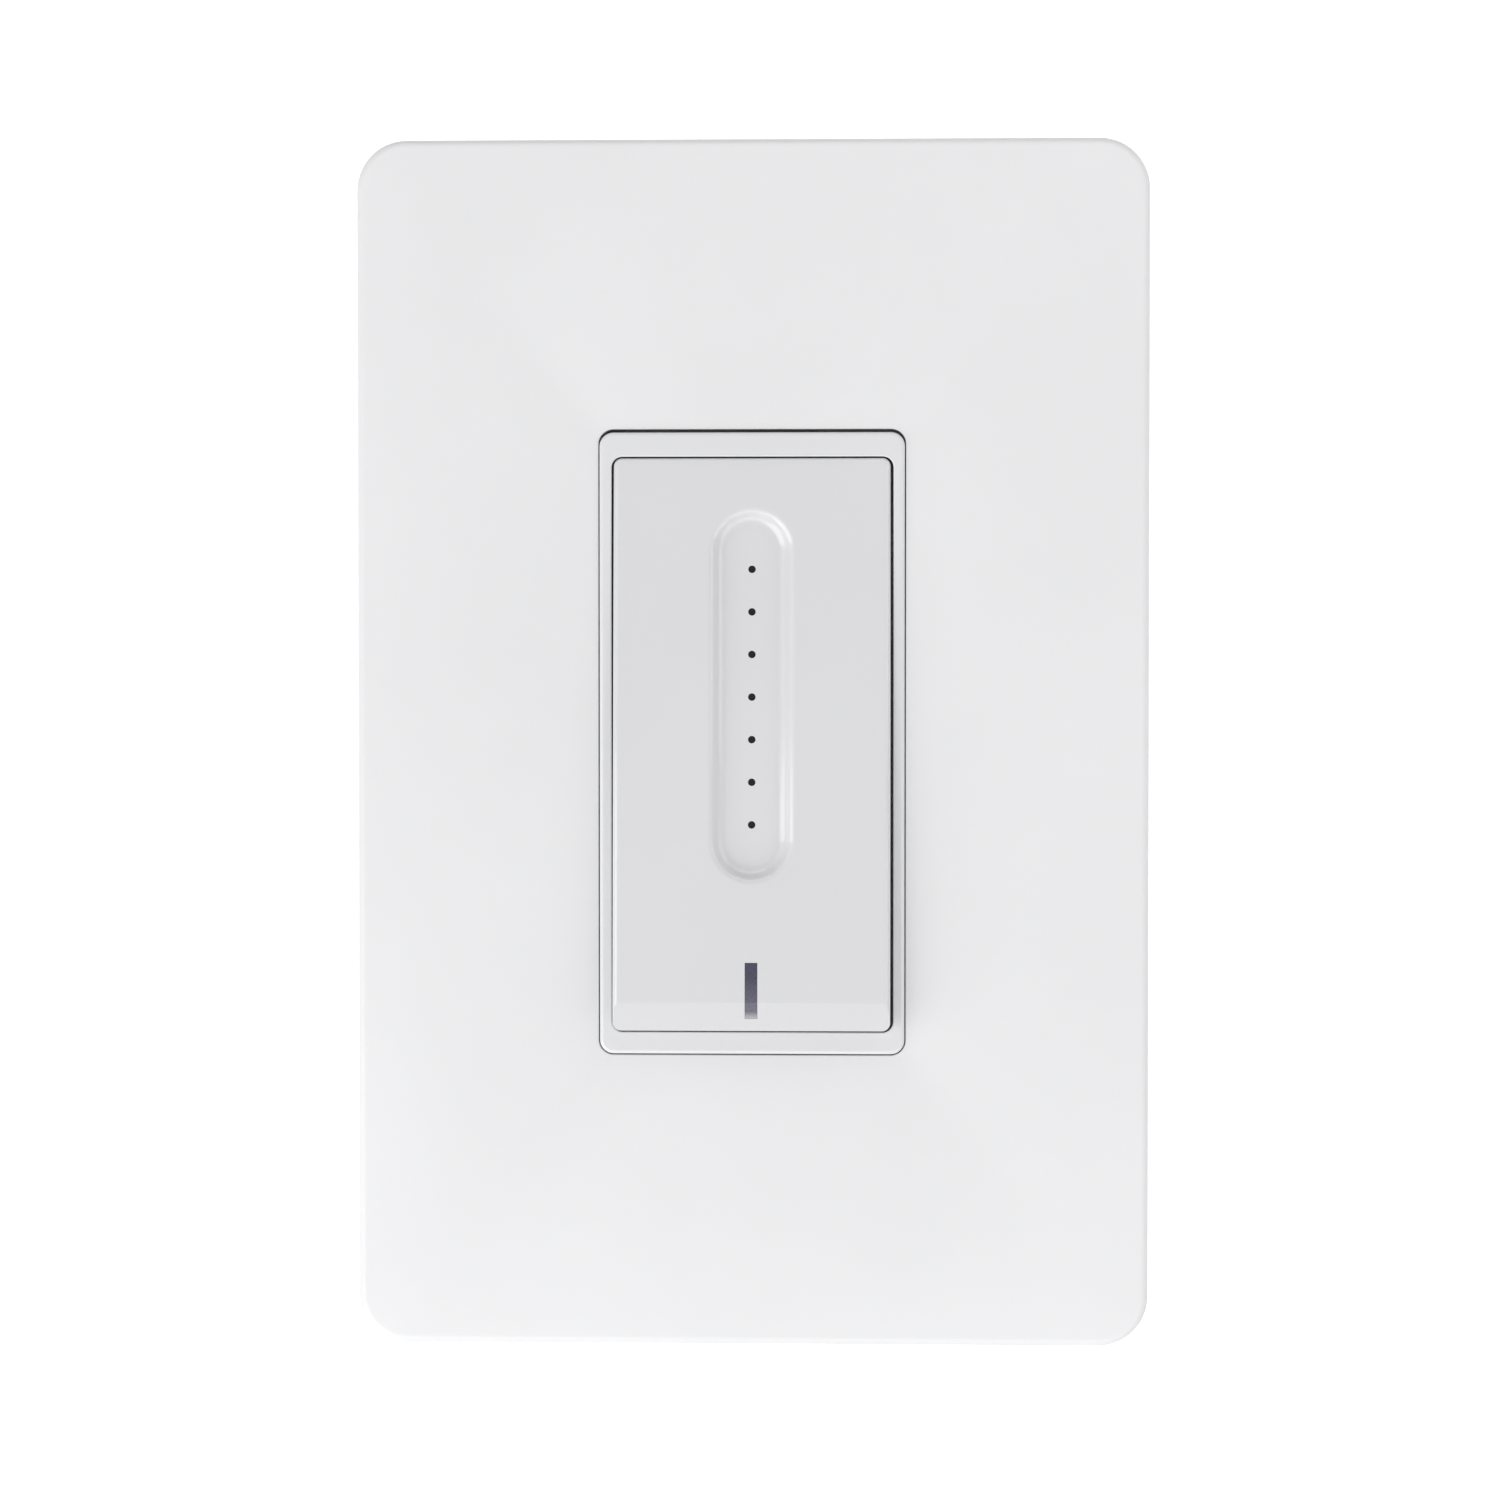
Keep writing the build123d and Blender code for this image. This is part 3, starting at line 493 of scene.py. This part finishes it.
def spring_rows(centre_x, centre_z, coil, start, end):
    """Rings of points round the spring wire, all the way along its coil."""
    rows = []
    for step, depth in enumerate(spring_depths(start, end)):
        angle = 2 * math.pi * step / points_per_turn
        outward = Vector((math.cos(angle), 0, math.sin(angle)))
        middle = Vector((centre_x, depth, centre_z)) + coil * outward
        row = []
        for side in range(wire_sides):
            turn = 2 * math.pi * side / wire_sides
            row.append(middle + spring_wire * (math.cos(turn) * outward + math.sin(turn) * Vector((0, 1, 0))))
        rows.append(row)
    return rows


def make_return_springs():
    """Both coil springs, on a mesh of their own; on the real dimmer they shorten towards the frame's floor as
    the paddle is pressed.
    """
    low, high = node_box("return_springs")
    coil = (high.z - low.z) / 2 - spring_wire
    centre_x = high.x - coil - spring_wire
    centre_z = (high.z + low.z) / 2
    start, end = high.y - spring_wire, low.y + spring_wire
    bm = bmesh.new()
    for side in (-1, 1):
        add_tube(bm, spring_rows(side * centre_x, centre_z, coil, start, end))
    springs = add_piece("return_springs_fine", bm, "device", "spring_steel", ["return_springs"], 60)
    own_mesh(springs)


# ---------------------------------------------------------------- box screws
screw_sides = 28
rings_per_pitch = 8
thread_pitch = 0.79
thread_depth = 0.28
tip_taper = 0.6
box_screw_radius = 1.75
box_screw_neck = 1.5
box_head_height = 1.9
washer_back = 0.4
slot_width = 0.9
slot_floor_share = 0.55
head_round_share = 0.45


def screw_ring(centre_z, radius, depth):
    """Points round one plain cross-section of a screw whose axis runs into the wall."""
    turns = [2 * math.pi * side / screw_sides for side in range(screw_sides)]
    return [(radius * math.cos(turn), depth, centre_z + radius * math.sin(turn)) for turn in turns]


def head_rings(centre_z, radius, seat):
    """A pan head from the middle of its crown, over its rim and under it to the plain neck."""
    crown = box_head_height * head_round_share
    top = seat - box_head_height
    rings = [screw_ring(centre_z, radius * 0.35, top), screw_ring(centre_z, radius - crown, top)]
    for step in range(1, arc_steps + 1):
        angle = math.radians(90 * step / arc_steps)
        reach = radius - crown * (1 - math.sin(angle))
        rings.append(screw_ring(centre_z, reach, top + crown * (1 - math.cos(angle))))
    for reach, depth in ((radius, seat - 0.1), (radius - 0.1, seat), (box_screw_neck, seat)):
        rings.append(screw_ring(centre_z, reach, depth))
    return rings


def thread_rings(centre_z, start, tip):
    """The threaded length: a crest that winds round with depth and tapers off at the tip."""
    rings = []
    count = round((tip - start) / thread_pitch * rings_per_pitch)
    for step in range(count + 1):
        depth = start + (tip - start) * step / count
        taper = max(0.0, depth - tip + tip_taper)
        ring = []
        for side in range(screw_sides):
            turn = 2 * math.pi * side / screw_sides
            phase = (depth / thread_pitch - side / screw_sides) % 1.0
            groove = thread_depth * min(1.0, 2.2 * (1 - abs(2 * phase - 1)))
            reach = box_screw_radius - groove - taper
            ring.append((reach * math.cos(turn), depth, centre_z + reach * math.sin(turn)))
        rings.append(ring)
    return rings


def cut_away(bm, cutter):
    """A new bmesh: the first one with the second one's volume taken out."""
    solids = []
    for shape in (bm, cutter):
        bmesh.ops.recalc_face_normals(shape, faces=shape.faces)
        mesh = bpy.data.meshes.new("cutting")
        shape.to_mesh(mesh)
        shape.free()
        solids.append(bpy.data.objects.new("cutting", mesh))
        bpy.context.scene.collection.objects.link(solids[-1])
    change = solids[0].modifiers.new("cut", "BOOLEAN")
    change.operation = "DIFFERENCE"
    change.solver = "EXACT"
    change.object = solids[1]
    graph = bpy.context.evaluated_depsgraph_get()
    left = bmesh.new()
    left.from_mesh(solids[0].evaluated_get(graph).data)
    for solid in solids:
        bpy.data.objects.remove(solid)
    return left


def make_box_screws():
    """Both captive screws into the wall box, with their threads and driver slots."""
    low, high = node_box("box_screws")
    radius = high.x
    seat = low.y + box_head_height
    half = slot_width / 2
    slot_floor = seat - box_head_height * slot_floor_share
    screws, slots = bmesh.new(), bmesh.new()
    for z in (low.z + radius, high.z - radius):
        add_tube(screws, head_rings(z, radius, seat) + thread_rings(z, washer_back, high.y))
        add_block(slots, (-radius - 1, low.y - 1, z - half), (radius + 1, slot_floor, z + half), 0.05)
    add_piece("box_screws_fine", cut_away(screws, slots), "device", "zinc_steel", ["box_screws"], 40)


# ---------------------------------------------------------------- blank rating label
label_size = (30.0, 20.0)
label_corner = 1.5
label_thickness = 0.12
label_rim = 0.02
label_edge_inset = 0.05
label_gap = 0.01


def make_label():
    """A thin blank label with rounded corners, stuck on top of the rear housing."""
    low, high = node_box("rear_housing")
    middle = (low.y + high.y) / 2
    bm = bmesh.new()
    rows = []
    section = ((0.0, label_gap), (0.0, label_thickness - label_rim), (label_edge_inset, label_thickness))
    for inset, height in section:
        across, along = (size - 2 * inset for size in label_size)
        outline = rounded_loop(across, along, label_corner - inset, 0.0, middle)
        rows.append([(x, y, high.z + height) for x, _, y in outline])
    add_tube(bm, rows)
    add_piece("blank_label", bm, "device", "label_silver")


make_cover_plate()
make_return_springs()
make_box_screws()
make_label()


# ---------------------------------------------------------------- stage, light and camera
def stage_plane(name, corners, material):
    """A flat quad, front side first, that is part of the set and not of the object."""
    mesh = bpy.data.meshes.new(name)
    mesh.from_pydata(corners, [], [(0, 1, 2, 3)])
    mesh.materials.append(material)
    plane = bpy.data.objects.new(name, mesh)
    bpy.context.scene.collection.objects.link(plane)


def floor_material():
    t = Tree("pale_floor")
    t.set(Base_Color=t.mixed(t.noise(60.0, 2.0), (0.90, 0.90, 0.90), (0.93, 0.93, 0.93)), Roughness=0.9)
    return t.material


def backdrop_material(strength):
    """A light box: plain white that shines evenly."""
    t = Tree("white_backdrop")
    t.set(Base_Color=(1.0, 1.0, 1.0, 1.0), Emission_Color=(1.0, 1.0, 1.0, 1.0), Emission_Strength=strength)
    return t.material


floor_drop = 0.2
backdrop_distance = 0.7
backdrop_top = 1.5
backdrop_strength = 1.1


def make_set():
    """A pale floor well below the object, and a shining white backdrop that fills the camera's view."""
    floor_z = cad_bounds[0].z - floor_drop
    back_y = cad_bounds[1].y + backdrop_distance
    half = 2.0
    floor = [(-half, -half, floor_z), (half, -half, floor_z), (half, half, floor_z), (-half, half, floor_z)]
    stage_plane("floor", floor, floor_material())
    top = backdrop_top
    wall = [(-half, back_y, floor_z), (half, back_y, floor_z), (half, back_y, top), (-half, back_y, top)]
    stage_plane("backdrop", wall, backdrop_material(backdrop_strength))


def softbox(name, place, size, brightness):
    """A rectangular soft light near the object, facing the origin.  Brightness is its surface's radiance."""
    data = bpy.data.lights.new(name, "AREA")
    data.shape = "RECTANGLE"
    data.size, data.size_y = size
    data.energy = brightness * math.pi * size[0] * size[1]
    light = bpy.data.objects.new(name, data)
    light.location = place
    light.rotation_mode = "QUATERNION"
    light.rotation_quaternion = (-Vector(place)).to_track_quat("-Z", "Y")
    light.visible_camera = False
    bpy.context.scene.collection.objects.link(light)


def make_lights():
    """A large key at the lower left, which shows in the groove, and dim panels near the other sides."""
    softbox("key_left", (-0.23, -0.17, -0.11), (0.29, 0.26), 2.25)
    softbox("left_high", (-0.125, -0.095, 0.07), (0.11, 0.12), 0.5)
    softbox("right_low", (0.135, -0.095, -0.07), (0.11, 0.14), 1.1)
    softbox("right_high", (0.135, -0.095, 0.07), (0.11, 0.14), 1.1)
    softbox("top", (0, -0.105, 0.155), (0.20, 0.10), 1.2)
    softbox("bottom", (0, -0.105, -0.155), (0.20, 0.10), 1.0)


def make_world():
    world = bpy.data.worlds.new("studio")
    bpy.context.scene.world = world
    world.use_nodes = True
    back = world.node_tree.nodes["Background"]
    back.inputs["Color"].default_value = (1.0, 1.0, 1.0, 1.0)
    back.inputs["Strength"].default_value = 0.32


def make_camera():
    """The photograph's view: slightly above and to the right of square on, from arm's length."""
    distance = 0.45
    right, above = math.radians(2.2), math.radians(1.5)
    view_width = 0.1590
    aim = Vector((-0.0001, cad_bounds[0].y, -0.0006))
    back = Vector((math.sin(right) * math.cos(above), -math.cos(right) * math.cos(above), math.sin(above)))
    data = bpy.data.cameras.new("camera")
    data.sensor_width = 36.0
    data.lens = data.sensor_width * distance / view_width
    data.clip_start = 0.01
    camera = bpy.data.objects.new("camera", data)
    camera.location = aim + distance * back
    camera.rotation_mode = "QUATERNION"
    camera.rotation_quaternion = (-back).to_track_quat("-Z", "Y")
    bpy.context.scene.collection.objects.link(camera)
    bpy.context.scene.camera = camera


make_set()
make_world()
make_lights()
make_camera()
bpy.context.scene.view_settings.view_transform = "Standard"
